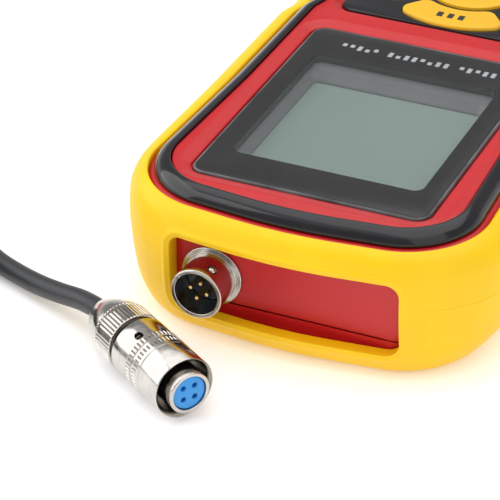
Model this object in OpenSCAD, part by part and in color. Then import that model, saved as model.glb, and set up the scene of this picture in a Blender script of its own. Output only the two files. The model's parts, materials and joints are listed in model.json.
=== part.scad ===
// Grain moisture meter: hand-held instrument in a silicone boot, with a loose four-pin
// lead and a spear probe. The meter lies on its back, display up, and its connector end
// faces -Y. The origin is the middle of its footprint, on the surface it lies on.

/* [Body] */
// Half width of the body across the display end
body_half = 33.0; // [32.5:0.1:33.5]
// Length of the body along its middle
body_len = 166; // [165:0.5:167]
// Height of the red face above the surface that the boot lies on
face_z = 28.2; // [28:0.1:28.4]
// Height of the line where the two shells meet
split_z = 7.0; // [6.8:0.1:7.2]
// Wall thickness of both shells
shell_t = 2.0; // [1.8:0.1:2.2]

/* [Boot] */
// Thickness of the boot along its sides
boot_side_t = 4.9; // [4.6:0.1:5.2]
// How far the soft boot sits to one side of the body
boot_x = 0.6; // [0:0.1:0.8]
// Thickness of the boot's rim across the socket end
boot_end_t = 3.7; // [3.5:0.1:4]
// Thickness of the boot across the far end
boot_far_t = 4.6; // [4:0.1:5]
// Thickness of the boot under the body
boot_floor_t = 2.5; // [2:0.1:2.5]
// Half width of the end window
window_half = 22.2; // [21:0.2:22.6]
// Height of the end window's lower edge
window_low_z = 5.6; // [5.2:0.1:6]
// Height of the end window's upper edge
window_high_z = 20.6; // [20:0.1:21]

/* [Display] */
// Half width of the display lens
lens_half = 22.9; // [22:0.1:23.4]
// Near edge of the display lens
lens_near_y = -72.1; // [-72.5:0.1:-71.5]
// Far edge of the display lens
lens_far_y = -11.4; // [-12:0.1:-11]
// Thickness of the display lens
lens_t = 1.6; // [1.2:0.1:1.8]
// Depth of the display glass below the lens's outer face
lcd_depth = 3.5; // [3.2:0.1:3.8]

/* [Keys] */
// Middle of the ring of keys
keys_y = 15.6; // [15:0.1:16]
// Outer radius of the ring of keys
ring_r = 17.9; // [17:0.1:18]
// Inner radius of the ring of keys
ring_in_r = 10.6; // [10.4:0.1:11]
// Radius of the middle key
mid_key_r = 9.1; // [8.5:0.1:9.4]
// How far a key stands out of its panel
key_rise = 0.7; // [0.6:0.1:0.8]

/* [Socket] */
// Sideways place of the socket
socket_x = -14.2; // [-14.5:0.1:-14]
// Height of the socket's axis
socket_z = 12.4; // [12.2:0.1:12.6]
// Radius of the socket's rim
rim_r = 4.95; // [4.9:0.05:5]
// Radius of the socket's bore
socket_bore_r = 4.15; // [4.1:0.05:4.2]

/* [Plug] */
// Place of the plug's front rim across the meter
plug_x = -7.7; // [-8:0.1:-7]
// Place of the plug's front rim along the meter
plug_y = -106.9; // [-108:0.1:-106]
// Direction that the plug points in, from +X
plug_turn = -34; // [-36:1:-32]
// Radius of the plug's coupling sleeve
sleeve_r = 5.85; // [5.75:0.05:5.85]

/* [Cord and probe] */
// Diameter of the cord
cord_d = 3.9; // [3.8:0.1:4]
// Middle of the coil, across the meter
coil_x = -93; // [-94:1:-92]
// Middle of the coil, along the meter
coil_y = -88; // [-89:1:-87]
// Place of the probe across the meter
probe_x = -152; // [-153:1:-151]
// Place of the handle's cord end along the meter
probe_y = -52; // [-53:1:-51]
// Length of the probe from the handle's end to the tip
probe_len = 220; // [210:5:225]
// Radius of the probe's rod
rod_r = 3; // [2.8:0.1:3.2]

/* [Hidden] */
$fn = 64;

gap = 0.1;          // between pieces that lie against each other
run_gap = 0.3;      // around a key
turn_step = 8;      // degrees of turn for each point of a rounded outline

// Outlines are half lists of [x, y, fillet radius], from the connector end to the far end.
body_near_y = -83.2;
body_far_y = body_near_y + body_len + 1.0;
body_half_outline = [
    [0, body_near_y, 90], [body_half, body_near_y + 3.6, 16],
    [body_half - 2.0, -36, 80], [body_half - 2.3, -4, 8], [body_half - 3.4, -0.5, 8],
    [body_half - 3.8, body_far_y - 3.8, 19], [0, body_far_y, 90]
];
boot_half = body_half + boot_side_t;
boot_half_outline = [
    [0, body_near_y - boot_end_t + 0.2, 95], [boot_half, body_near_y - boot_end_t + 4.6, 22],
    [boot_half - 1.2, -34, 80], [boot_half - 1.4, -3, 3], [boot_half - 2.4, 0.5, 3],
    [boot_half - 3.0, body_far_y + boot_far_t - 4.0, 24], [0, body_far_y + boot_far_t + 0.1, 95]
];

// Heights and insets of the outside of each lofted piece, from the bottom up.
boot_profile = [
    [0, 6.6], [0.5, 5.0], [1.6, 3.6], [3.0, 2.6], [4.5, 1.8], [6.5, 1.1], [11, 0.4], [15.2, 0.1],
    [18.5, 0], [21.5, 0.25], [23.8, 0.9], [25.4, 1.9], [26.1, 3.0], [26.2, 4.2]
];
boot_cavity = [
    [boot_floor_t, 3.1], [3.2, 1.4], [4.4, 0.4], [split_z, -gap], [40, -gap]
];
rear_profile = [[boot_floor_t + gap, 3.2], [3.2, 1.5], [4.4, 0.5], [split_z, 0]];
front_profile = [
    [split_z + gap / 2, 0], [24.6, 0], [25.3, 0.25], [25.7, 0.8], [25.8, 1.3],
    [25.8, 4.2], [face_z - 0.3, 4.3], [face_z, 4.6]
];

lens_z = face_z - 0.3;                 // outer face of the lens and the key panel
pocket_z = lens_z - lens_t;            // ledge that the lens and the key panel lie on
roof_z = pocket_z - 1.8;               // underside of the front shell's face
lcd_z = lens_z - lcd_depth;            // outer face of the display glass
board_z = 18.0;                        // underside of the main board
board_t = 1.6;
board_top_z = board_z + board_t;
print_t = 0.3;                         // printed layer under the lens
board_half = 21.4;
board_near_y = -70.5;
board_far_y = 38;
lens_corner_r = 2.3;
view_corner_r = 1.4;
lcd_corner_r = 0.8;
lcd_half = 16.8;
lcd_near_y = -62.4;
lcd_far_y = -27.2;
view_half = 18.6;                      // opening in the printed border
view_near_y = -63.1;
view_far_y = -22.3;
panel_half = 22.2;                     // key panel
panel_near_y = -2.7;
panel_far_y = 37.5;
key_travel = 0.6;
key_low_z = roof_z + 0.2;              // underside of a key at rest

boss_places = [[25, -59], [-25, -59], [24, 66], [-24, 66]];
board_screw_places = [[19, -67.5], [-19, -67.5], [19, 35], [-19, 35]];

socket_face_y = -80.6;                 // sunk flat in the end wall, where the socket sits
end_wall_t = 2.2;
end_flat_half = 21.2;
end_flat_high_z = 21.8;
end_block_z = 6.0;                     // underside of the block behind that flat
rim_y = -88;
flange_r = 6.1;
thread_r = 4.5;
pin_circle_r = 1.62;
pin_turn = 76;
ball_y = -85.3;                        // locking ball in the socket's side
ball_turn = 27;                        // from straight up, towards +X

door_half = 19;
door_near_y = 24;
door_far_y = 72.2;
door_t = 1.8;
cell_r = 5.25;
cell_len = 44.5;
cell_z = 10.2;
cell_y = 26.4;

plug_z = 5.9;
nose_r = 4.05;
nose_x = 1.9;                          // how far the inner barrel stands out of the sleeve
barrel_back_x = -22.0;
barrel_bore_r = 3.3;
knurl_r = 5.9;
sleeve_back_x = -15.45;
side_hole_x = -11.45;
side_hole_turn = 23.6;                 // from straight up, towards -Y
nut_front_x = -16.55;
nut_back_x = -28.3;

cord_r = cord_d / 2;
coil_in_r = 16;
coil_out_r = 32;
coil_h = 8;
cord_colour = [0.2, 0.21, 0.22];
// Route of the lead from the plug to the coil, and of the tail from the coil to the probe.
lead_route = [
    [-24.7, -95.4, 5.9], [-30.6, -91.5, 5.9], [-33.4, -89.6, 5.7], [-37.6, -87.3, 4.9],
    [-42.2, -85.5, 3.9], [-47.6, -83.4, 3.0], [-53.5, -80.7, 2.3], [-59.5, -77.7, 2.0],
    [-65.0, -73.9, 2.0], [-69.8, -68.9, 2.0]
];
tail_route = [
    [-112.0, -64.7, 6.0], [-116.6, -68.6, 6.0], [-121.2, -72.9, 5.9], [-125.3, -77.6, 5.0],
    [-128.7, -82.9, 3.6], [-131.7, -88.4, 2.5], [-135.8, -93.0, 2.1], [-141.2, -95.0, 2.2],
    [-146.4, -92.9, 2.9], [-149.9, -87.8, 4.6], [-151.6, -81.8, 7.1], [-152.0, -76.2, 9.3],
    [-152.0, -71.0, 10.1]
];

handle_r = 9.5;
handle_len = 88;
relief_len = 20;
tip_len = 14;
ring_len = 4;
grip_grooves = 9;
grip_start = 14;
grip_pitch = 6;
groove = [[0, 0], [0.25, 0.3], [0.75, 0.75], [0.85, 1.1], [0.75, 1.45], [0.25, 1.9], [0, 2.2]];
probe_tilt = asin((handle_r - rod_r) / probe_len);

// ---- outlines and lofts ----

function unit(v) = v / norm(v);
function mirrored(half) = concat(
    half,
    [for (i = [len(half) - 2:-1:1]) [-half[i].x, half[i].y, half[i].z]]
);
function cross_z(a, b) = a.x * b.y - a.y * b.x;

// Points of one rounded corner of a closed outline, moved inwards by inset.
function corner(p, v, n, inset) =
    let (
        a = unit([p.x - v.x, p.y - v.y]),
        b = unit([n.x - v.x, n.y - v.y]),
        turn = cross_z(-a, b) > 0 ? 1 : -1,
        half_angle = acos(max(-1, min(1, a * b))) / 2,
        to_middle = unit(a + b),
        r = v.z - turn * inset,
        far = v.z / sin(half_angle),
        centre = [v.x, v.y] + to_middle * far,
        sweep = 180 - 2 * half_angle,
        steps = max(1, ceil(sweep / turn_step)),
        mid = atan2(-to_middle.y, -to_middle.x)
    )
    [for (i = [0:steps]) let (t = mid + turn * sweep * (i / steps - 0.5))
        centre + max(r, 0.05) * [cos(t), sin(t)]];

function outline(half, inset = 0) =
    let (v = mirrored(half), n = len(v))
    [for (i = [0:n - 1]) each corner(v[(i + n - 1) % n], v[i], v[(i + 1) % n], inset)];

function rect_outline(half_w, near_y, far_y, r) =
    [[half_w, near_y, r], [half_w, far_y, r], [-half_w, far_y, r], [-half_w, near_y, r]];
function plain_outline(v, inset = 0) =
    let (n = len(v))
    [for (i = [0:n - 1]) each corner(v[(i + n - 1) % n], v[i], v[(i + 1) % n], inset)];

// A closed solid through rings of points that all have the same count.
module skin(rings) {
    n = len(rings[0]);
    last = len(rings) - 1;
    polyhedron(
        points = [for (ring = rings) each ring],
        faces = concat(
            [[for (i = [0:n - 1]) i]],
            [for (k = [0:last - 1], i = [0:n - 1])
                [k * n + i, (k + 1) * n + i, (k + 1) * n + (i + 1) % n, k * n + (i + 1) % n]],
            [[for (i = [n - 1:-1:0]) last * n + i]]
        )
    );
}

module loft(half, profile) {
    skin([for (step = profile) [for (p = outline(half, step[1])) [p.x, p.y, step[0]]]]);
}

module slab(half, inset, low, high) {
    translate([0, 0, low]) linear_extrude(high - low) polygon(outline(half, inset));
}

module rect_slab(half_w, near_y, far_y, r, low, high) {
    translate([0, 0, low]) linear_extrude(high - low)
        polygon(plain_outline(rect_outline(half_w, near_y, far_y, r)));
}

// A pocket whose sides lean outwards, from a rounded rectangle at low to a wider one at high.
module lean_pocket(half_w, near_y, far_y, r, low, high, lean) {
    v = rect_outline(half_w, near_y, far_y, r);
    skin([
        [for (p = plain_outline(v)) [p.x, p.y, low]],
        [for (p = plain_outline(v, -lean)) [p.x, p.y, high]]
    ]);
}

// A tube swept along a route, with rings square to the route and a fixed number of sides.
function side_of(d) = unit(cross(d, [0, 0, 1]));
function tube_ring(c, d, r, sides) =
    let (s = side_of(d), u = cross(s, d))
    [for (i = [0:sides - 1]) let (t = 360 * i / sides) c + r * (s * cos(t) + u * sin(t))];
function route_dir(route, i) =
    unit(route[min(i + 1, len(route) - 1)] - route[max(i - 1, 0)]);
module tube(route, r, sides) {
    skin([for (i = [0:len(route) - 1]) tube_ring(route[i], route_dir(route, i), r, sides)]);
}

// ---- meter ----

module boot() {
    color("gold") difference() {
        translate([boot_x, 0, 0]) loft(boot_half_outline, boot_profile);
        loft(body_half_outline, boot_cavity);
        // End window for the socket
        translate([boot_x, body_near_y + 8, 0]) rotate([90, 0, 0])
            linear_extrude(16)
                polygon(plain_outline(
                    rect_outline(window_half, window_low_z, window_high_z, 2.4)));
        // Window under the battery door
        rect_slab(door_half + 2, door_near_y - 2, door_far_y + 2, 3, -1, boot_floor_t + 1);
    }
}

module front_shell() {
    color("crimson") difference() {
        union() {
            difference() {
                loft(body_half_outline, front_profile);
                slab(body_half_outline, shell_t, split_z - 1, 23.4);
                slab(body_half_outline, shell_t + 4.2, 23, roof_z);
                lean_pocket(lens_half + 0.2, lens_near_y - 0.2, lens_far_y + 0.2, 2.6,
                    lens_z - 0.7, face_z + 0.3, 2.2);
                rect_slab(lens_half + gap, lens_near_y - gap, lens_far_y + gap, 2.4,
                    pocket_z, face_z + 1);
                lean_pocket(panel_half + 0.2, panel_near_y - 0.2, panel_far_y + 0.2, 3.2,
                    lens_z - 0.5, face_z + 0.3, 1.4);
                rect_slab(panel_half + gap, panel_near_y - gap, panel_far_y + gap, 3,
                    pocket_z, face_z + 1);
                // Well above the display
                rect_slab(view_half + 1, view_near_y - 1, view_far_y + 1, 1.5, 20, 30);
            }
            for (p = boss_places)
                translate([p.x, p.y, split_z + gap / 2]) cylinder(r = 3, h = 17.9);
            for (p = board_screw_places)
                translate([p.x, p.y, board_top_z + gap]) cylinder(r = 2.2, h = 5.2);
            translate([-end_flat_half + 0.6, socket_face_y, split_z + gap / 2])
                cube([2 * end_flat_half - 1.2, end_wall_t, end_flat_high_z + 1 - split_z]);
        }
        end_flat();
        for (p = boss_places)
            translate([p.x, p.y, split_z - 1]) cylinder(r = 1.15, h = 11);
        for (p = board_screw_places)
            translate([p.x, p.y, board_z]) cylinder(r = 0.95, h = 5);
        translate([socket_x, socket_face_y - 2, socket_z]) rotate([-90, 0, 0])
            cylinder(r = thread_r + gap, h = 9);
        key_holes(run_gap, roof_z - 1, face_z);
    }
}

// What is cut from the end wall to leave its flat
module end_flat() {
    translate([-end_flat_half, socket_face_y - 10, 0])
        cube([2 * end_flat_half, 10, end_flat_high_z]);
}

module rear_shell() {
    color("firebrick") {
        difference() {
            union() {
                difference() {
                    loft(body_half_outline, rear_profile);
                    slab(body_half_outline, shell_t + 2, boot_floor_t + gap + shell_t, split_z + 1);
                }
                // Walls round the cells
                rect_slab(door_half + 1.5, door_near_y - 1.5, door_far_y + 3.6, 2, 3.2, 13);
                for (p = boss_places)
                    translate([p.x, p.y, 3.2]) cylinder(r = 3.4, h = split_z - 3.2);
                translate([-end_flat_half + 0.6, socket_face_y, end_block_z])
                    cube([2 * end_flat_half - 1.2, end_wall_t, split_z - end_block_z]);
            }
            end_flat();
            rect_slab(door_half, door_near_y + 0.8, door_far_y + 2.2, 1, 4.9, 14);
            // Opening that the door fills, and the ledge that its hooks pass over
            rect_slab(door_half + run_gap, door_near_y - run_gap, door_far_y + run_gap, 1.3, 2, 6);
            for (side = [-1, 1])
                translate([side * 11 - 3.3, door_far_y - 1, 3.3]) cube([6.6, 3.6, 4]);
            for (p = boss_places) {
                translate([p.x, p.y, 2]) cylinder(r = 2.6, h = 3);
                translate([p.x, p.y, 2]) cylinder(r = 1.4, h = 8);
            }
        }
    }
}

module bezel_ring() {
    color([0.06, 0.06, 0.07]) difference() {
        loft(body_half_outline, [
            [25.9, 1.4], [26.2, 1.3], [26.8, 1.45], [27.6, 1.95], [28.2, 2.65], [28.6, 3.3],
            [28.7, 3.7], [28.6, 4.05]
        ]);
        slab(body_half_outline, 4.1, 25, 30);
    }
}

module display_lens() {
    color([0.75, 0.8, 0.78, 0.35])
        rect_slab(lens_half, lens_near_y, lens_far_y, lens_corner_r, pocket_z + print_t, lens_z);
}

module lens_print() {
    color([0.22, 0.22, 0.23]) difference() {
        rect_slab(lens_half, lens_near_y, lens_far_y, lens_corner_r, pocket_z, pocket_z + print_t);
        rect_slab(view_half, view_near_y, view_far_y, view_corner_r, pocket_z - 1, pocket_z + 1);
    }
}

module lcd_frame() {
    color([0.45, 0.45, 0.5]) difference() {
        rect_slab(view_half + 0.9, view_near_y - 0.9, view_far_y + 0.9, view_corner_r,
            board_top_z + gap, pocket_z - gap);
        lean_pocket(lcd_half, lcd_near_y, lcd_far_y, lcd_corner_r,
            lcd_z + 0.3, pocket_z + 0.2, 1.2);
        rect_slab(lcd_half, lcd_near_y, lcd_far_y, lcd_corner_r, 15, lcd_z + 0.4);
        rect_slab(lcd_half + 1 + gap, lcd_near_y - 0.4 - gap, lcd_far_y + 0.6 + gap, 0.4,
            15, lcd_z + gap);
    }
}

module lcd_panel() {
    color([0.57, 0.63, 0.6])
        rect_slab(lcd_half + 1, lcd_near_y - 0.4, lcd_far_y + 0.6, 0.4, lcd_z - 1.9, lcd_z);
}

module lcd_backlight() {
    color("honeydew")
        rect_slab(lcd_half + 0.6, lcd_near_y + 2.6, lcd_far_y, 0.4,
            board_top_z + gap, lcd_z - 2.0);
}

module lcd_contact_strips() {
    color("dimgray")
        translate([-lcd_half, lcd_near_y + 0.2, board_top_z + gap])
            cube([2 * lcd_half, 1.8, lcd_z - 2.0 - board_top_z - gap]);
}

// ---- keys ----

module ring_key(turn, grow = 0) {
    rotate([0, 0, turn]) offset(r = 2.2) offset(delta = grow - 2.2) intersection() {
        difference() {
            circle(r = ring_r, $fn = 72);
            circle(r = ring_in_r, $fn = 72);
        }
        polygon([[0, -1.4], [24, -17.4], [24, 17.4], [0, 1.4]]);
    }
}

module key_holes(grow, low, high) {
    translate([0, keys_y, low]) linear_extrude(high - low) {
        circle(r = mid_key_r + grow, $fn = 72);
        for (turn = [0:90:270]) ring_key(turn, grow);
    }
}

module ring_key_cap(turn) {
    color("gold") translate([0, keys_y, key_low_z])
        linear_extrude(lens_z + key_rise - key_low_z) ring_key(turn);
}

module power_button() {
    color("gold") translate([0, keys_y, key_low_z]) {
        cylinder(r = mid_key_r, h = lens_z + 0.2 - key_low_z);
        translate([0, 0, lens_z + 0.2 - key_low_z])
            cylinder(r1 = mid_key_r, r2 = mid_key_r - 0.6, h = key_rise - 0.2);
    }
}

module set_button() { ring_key_cap(-90); }
module right_button() { ring_key_cap(0); }
module far_button() { ring_key_cap(90); }
module left_button() { ring_key_cap(180); }

module keypad_panel() {
    color([0.05, 0.05, 0.06]) difference() {
        rect_slab(panel_half, panel_near_y, panel_far_y, 2.9, pocket_z, lens_z);
        key_holes(run_gap - 0.05, pocket_z - 1, lens_z + 1);
    }
}

module keypad_membrane() {
    stud_h = key_low_z - key_travel - 0.2 - board_top_z - gap;
    color("lightslategray") translate([0, 0, board_top_z + gap]) {
        rect_slab(panel_half - 5.5, panel_near_y + 1, keys_y + 15, 2, 0, 1);
        translate([0, keys_y, 0]) cylinder(r = 4, h = stud_h);
        for (turn = [0:90:270])
            translate([0, keys_y, 0]) rotate([0, 0, turn])
                translate([(ring_r + ring_in_r) / 2 - 0.6, 0, 0]) cylinder(r = 1.8, h = stud_h);
    }
}

// ---- electronics ----

module main_board() {
    color("darkgreen") difference() {
        rect_slab(board_half, board_near_y, board_far_y, 2, board_z, board_z + board_t);
        for (p = board_screw_places)
            translate([p.x, p.y, board_z - 1]) cylinder(r = 1.2, h = 4);
    }
}

module board_parts() {
    color([0.1, 0.1, 0.1]) translate([0, 0, board_z - gap / 2]) mirror([0, 0, 1]) {
        translate([-5, -48, 0]) cube([10, 10, 1.4]);
        translate([8, -30, 0]) cube([5, 6, 1.5]);
        translate([-14, -28, 0]) cube([6, 5, 1.5]);
        translate([-2.5, -22, 0]) cube([5, 4, 1.2]);
        translate([14, -52, 0]) cylinder(r = 3, h = 5.4);
        translate([-14, 2, 0]) cylinder(r = 2.5, h = 1.6);
        for (i = [0:5]) translate([-10 + 4 * i, -12, 0]) cube([2, 1.2, 0.6]);
    }
}

module buzzer() {
    color("black") translate([12, 10, board_z - 4.6 - gap / 2]) difference() {
        cylinder(r = 4.8, h = 4.6);
        translate([0, 0, -1]) cylinder(r = 0.9, h = 1.8);
    }
}

module board_screws() {
    color("silver") for (p = board_screw_places) translate([p.x, p.y, board_z]) {
        translate([0, 0, -1.4]) cylinder(r = 1.9, h = 1.35);
        translate([0, 0, -0.1]) cylinder(r = 0.9, h = 4.6);
    }
}

module case_screws() {
    color("silver") for (p = boss_places) translate([p.x, p.y, 0]) difference() {
        union() {
            translate([0, 0, 3.3]) cylinder(r = 2.3, h = 1.65);
            translate([0, 0, 4.9]) cylinder(r = 1.1, h = 9.6);
        }
        translate([0, 0, 3.9]) for (t = [0, 90]) rotate([0, 0, t])
            translate([-1.3, -0.3, -1]) cube([2.6, 0.6, 1.4]);
    }
}

// ---- socket ----

module at_socket() { translate([socket_x, 0, socket_z]) rotate([-90, 0, 0]) children(); }

module socket_shell() {
    color("silver") at_socket() difference() {
        rotate_extrude() polygon([
            [socket_bore_r, rim_y], [rim_r - 0.3, rim_y], [rim_r, rim_y + 0.3],
            [rim_r, rim_y + 1.2], [rim_r - 0.3, rim_y + 1.4], [rim_r - 0.3, socket_face_y - 1.1],
            [flange_r - 0.2, socket_face_y - 1.1], [flange_r, socket_face_y - 0.9],
            [flange_r, socket_face_y - gap / 2], [thread_r, socket_face_y - gap / 2],
            [thread_r, -74], [socket_bore_r - 0.6, -74],
            [socket_bore_r - 0.6, -79], [socket_bore_r, -79]
        ]);
        // Hole for the locking ball
        rotate([0, 0, ball_turn]) translate([0, 0, ball_y]) rotate([90, 0, 0])
            cylinder(r = 0.85, h = 6);
    }
}

module socket_insulator() {
    color([0.05, 0.08, 0.14]) at_socket() difference() {
        union() {
            translate([0, 0, -82.6]) cylinder(r = socket_bore_r - 0.04, h = 3.4);
            translate([0, 0, -79.3]) cylinder(r = socket_bore_r - 0.7, h = 5.6);
        }
        for (k = [0:3]) rotate([0, 0, -(pin_turn + 90 * k)])
            translate([pin_circle_r, 0, -84]) cylinder(r = 0.47, h = 12);
        translate([-2.9, -1.2, -84]) cylinder(r = 0.55, h = 3);
    }
}

module socket_pins() {
    color("goldenrod") at_socket() for (k = [0:3]) rotate([0, 0, -(pin_turn + 90 * k)])
        translate([pin_circle_r, 0, 0]) {
            translate([0, 0, -86.6]) cylinder(r = 0.42, h = 15.2);
            translate([0, 0, -86.6]) sphere(r = 0.42, $fn = 24);
        }
}

module socket_ball() {
    color("gainsboro") at_socket() rotate([0, 0, ball_turn])
        translate([0, -4.35, ball_y]) sphere(r = 0.78, $fn = 32);
}

module socket_nut() {
    color("silver") at_socket() translate([0, 0, socket_face_y + end_wall_t + gap]) difference() {
        cylinder(r = 6.2, h = 1.8, $fn = 6);
        translate([0, 0, -1]) cylinder(r = thread_r + gap, h = 4);
    }
}

module socket_leads() {
    color("orangered") for (k = [0:3]) {
        t = pin_turn + 90 * k;
        x = socket_x + pin_circle_r * cos(t);
        z = socket_z + pin_circle_r * sin(t);
        translate([x, -71.35, z]) rotate([-90, 0, 0]) cylinder(r = 0.4, h = 3.35 + 1.6 * k);
        translate([x, -68 + 1.6 * k, z - 0.4]) cylinder(r = 0.4, h = board_z - gap - z + 0.4);
    }
}

// ---- battery ----

module battery_door() {
    color("firebrick") difference() {
        union() {
            rect_slab(door_half, door_near_y, door_far_y, 1, boot_floor_t + gap,
                boot_floor_t + gap + door_t);
            for (side = [-1, 1])
                translate([side * 11 - 3, door_far_y - 3, boot_floor_t + gap + 0.95])
                    cube([6, 5, 0.8]);
        }
        for (i = [0:4])
            translate([-7, door_near_y + 4 + 1.6 * i, boot_floor_t]) cube([14, 0.7, 0.6]);
    }
}

module battery_cells() {
    color("steelblue") for (k = [-1, 0, 1])
        translate([k * 11.2, cell_y, cell_z]) rotate([-90, 0, 0]) {
            cylinder(r = cell_r, h = cell_len - 1);
            translate([0, 0, cell_len - 1.1]) cylinder(r = 1.9, h = 1);
        }
}

module battery_contacts() {
    color("silver") for (k = [-1, 0, 1]) translate([k * 11.2, 0, cell_z]) {
        translate([-4, cell_y + cell_len + 0.1, -4]) cube([8, 0.4, 8]);
        translate([-4, cell_y - 1.5, -4]) cube([8, 0.4, 8]);
        for (i = [0:1]) translate([0, cell_y - 0.8 + 0.45 * i, 0]) rotate([90, 0, 0])
            rotate_extrude() translate([2.6 - 0.6 * i, 0]) circle(r = 0.2, $fn = 16);
    }
}

// ---- plug ----

module at_plug() {
    translate([plug_x, plug_y, plug_z]) rotate([0, 0, plug_turn]) rotate([0, 90, 0]) children();
}

module turned(points) { at_plug() rotate_extrude() polygon(points); }

module plug_sleeve() {
    color("silver") difference() {
        turned([
            [5.0, -0.9], [sleeve_r - 0.2, 0], [sleeve_r, -0.15], [sleeve_r, -6.1],
            [knurl_r, -6.2], [knurl_r, -8.75], [sleeve_r - 0.15, -8.85], [sleeve_r - 0.15, -8.95],
            [knurl_r, -9.05], [knurl_r, -10.4], [sleeve_r - 0.1, -10.5],
            [sleeve_r - 0.1, sleeve_back_x + 0.2], [sleeve_r - 0.3, sleeve_back_x],
            [5.2, sleeve_back_x], [5.2, -9.2], [4.62, -9.2], [4.62, -7.2], [5.0, -7.2]
        ]);
        at_plug() rotate([0, 0, 180 + side_hole_turn]) rotate([0, 90, 0]) for (x = [-0.3, 0.3])
            translate([-side_hole_x + x, 0, 3]) cylinder(r = 0.7, h = 5);
    }
}

module plug_body() {
    color("gainsboro") turned([
        [barrel_bore_r, nose_x], [nose_r - 0.15, nose_x], [nose_r, nose_x - 0.15],
        [nose_r, -7.1], [4.55, -7.1], [4.55, -9.4], [4.2, -9.5], [4.2, barrel_back_x],
        [barrel_bore_r, barrel_back_x]
    ]);
}

module plug_insulator() {
    color("dodgerblue") at_plug() difference() {
        translate([0, 0, -15]) cylinder(r = barrel_bore_r - 0.04, h = 15 + nose_x - 0.25);
        for (k = [0:3]) rotate([0, 0, 45 + 90 * k])
            translate([pin_circle_r, 0, -17]) cylinder(r = 0.52, h = 20);
    }
}

module plug_contacts() {
    color("goldenrod") at_plug() for (k = [0:3]) rotate([0, 0, 45 + 90 * k])
        translate([pin_circle_r, 0, -17]) difference() {
            cylinder(r = 0.5, h = 17);
            translate([0, 0, 9]) cylinder(r = 0.42, h = 9);
        }
}

module plug_spring() {
    color("lightgray") at_plug() for (i = [0:6])
        translate([0, 0, -15.9 + 0.85 * i]) rotate_extrude()
            translate([4.72, 0]) circle(r = 0.25, $fn = 16);
}

module plug_nut() {
    color("silver") turned([
        [4.25, nut_front_x], [5.5, nut_front_x], [5.7, nut_front_x - 0.3], [5.6, -21.6],
        [5.35, -22.8], [4.8, -24.6], [4.0, -26.5], [3.2, nut_back_x + 0.3], [2.9, nut_back_x],
        [2.2, nut_back_x], [2.2, barrel_back_x - 0.8], [4.25, barrel_back_x - 0.8]
    ]);
}

module plug_clamp() {
    color("dimgray") at_plug() difference() {
        translate([0, 0, barrel_back_x - 0.7]) cylinder(r = barrel_bore_r - 0.05, h = 4.8);
        translate([0, 0, barrel_back_x - 2]) cylinder(r = 1.6, h = 8);
    }
}

// ---- cord ----

module cord_lead() { color(cord_colour) tube(lead_route, cord_r, 8); }
module cord_tail() { color(cord_colour) tube(tail_route, cord_r, 8); }

module cord_coil() {
    color(cord_colour) translate([coil_x, coil_y, 0]) rotate_extrude()
        polygon([
            [coil_in_r, 1], [coil_in_r + 1, 0], [coil_out_r - 1, 0], [coil_out_r, 1],
            [coil_out_r, coil_h - 1], [coil_out_r - 1, coil_h], [coil_in_r + 1, coil_h],
            [coil_in_r, coil_h - 1]
        ]);
}

module cord_tie() {
    color("black") translate([coil_x, coil_y, 0]) rotate([0, 0, -60]) difference() {
        translate([coil_in_r - 0.7, -2.5, 0]) cube([coil_out_r - coil_in_r + 1.4, 5, coil_h + 0.7]);
        rotate_extrude() translate([coil_in_r, -1]) square([coil_out_r - coil_in_r, coil_h + 1]);
    }
}

// ---- probe ----

// Local Z runs from the handle's cord end to the tip, which touches the surface.
module at_probe() {
    translate([probe_x, probe_y, handle_r / cos(probe_tilt)])
        rotate([-90 - probe_tilt, 0, 0]) children();
}

module probe_relief() {
    color([0.15, 0.15, 0.16]) at_probe() difference() {
        rotate_extrude() polygon([
            [0, -relief_len], [2.9, -relief_len], [3.2, -relief_len + 1], [4.6, -3],
            [6.5, -2], [6.5, -gap], [0, -gap]
        ]);
        for (i = [0:3]) translate([0, 0, -relief_len + 4 + 3.4 * i]) difference() {
            cylinder(r = 8, h = 1.2);
            translate([0, 0, -1]) cylinder(r = 2.8, h = 4);
        }
    }
}

module probe_cap() {
    color([0.12, 0.12, 0.13]) at_probe() rotate_extrude() polygon([
        [0, 0], [7.5, 0], [handle_r - 0.4, 0.8], [handle_r - 0.2, 2.0], [handle_r - 0.2, 6],
        [0, 6]
    ]);
}

module probe_handle() {
    slope = tan(probe_tilt);
    front_r = handle_r - 0.2 - handle_len * slope;
    color("crimson") at_probe() rotate_extrude() polygon(concat(
        [[0, 6 + gap], [handle_r - 0.5, 6 + gap], [handle_r - 0.35, 6.5]],
        [for (i = [0:grip_grooves - 1], p = groove)
            let (s = grip_start + grip_pitch * i + p[1])
            [handle_r - 0.2 - s * slope - p[0], s]],
        [[front_r + 0.2, handle_len - 10], [front_r, handle_len - 6], [front_r - 0.5, handle_len - 3],
            [front_r - 1.4, handle_len - 1], [front_r - 2.8, handle_len], [0, handle_len]]
    ));
}

module probe_rod() {
    rod_end = probe_len - tip_len - ring_len - gap;
    color("silver") at_probe() difference() {
        rotate_extrude() polygon([
            [0, handle_len + gap], [rod_r + 0.9, handle_len + gap], [rod_r + 1, handle_len + 0.3],
            [rod_r + 1, handle_len + 1.6], [rod_r + 0.8, handle_len + 1.9], [rod_r, handle_len + 2],
            [rod_r, rod_end - 0.15], [rod_r - 0.15, rod_end], [0, rod_end]
        ]);
        translate([0, 0, handle_len - 1]) cylinder(r = rod_r - 0.8, h = rod_end - handle_len + 2);
    }
}

module probe_insulator() {
    ring_start = probe_len - tip_len - ring_len;
    color("ivory") at_probe() translate([0, 0, ring_start]) rotate_extrude() polygon([
        [0, 0], [rod_r - 0.2, 0], [rod_r - 0.05, 0.15], [rod_r - 0.05, ring_len - gap - 0.15],
        [rod_r - 0.2, ring_len - gap], [0, ring_len - gap]
    ]);
}

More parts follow.
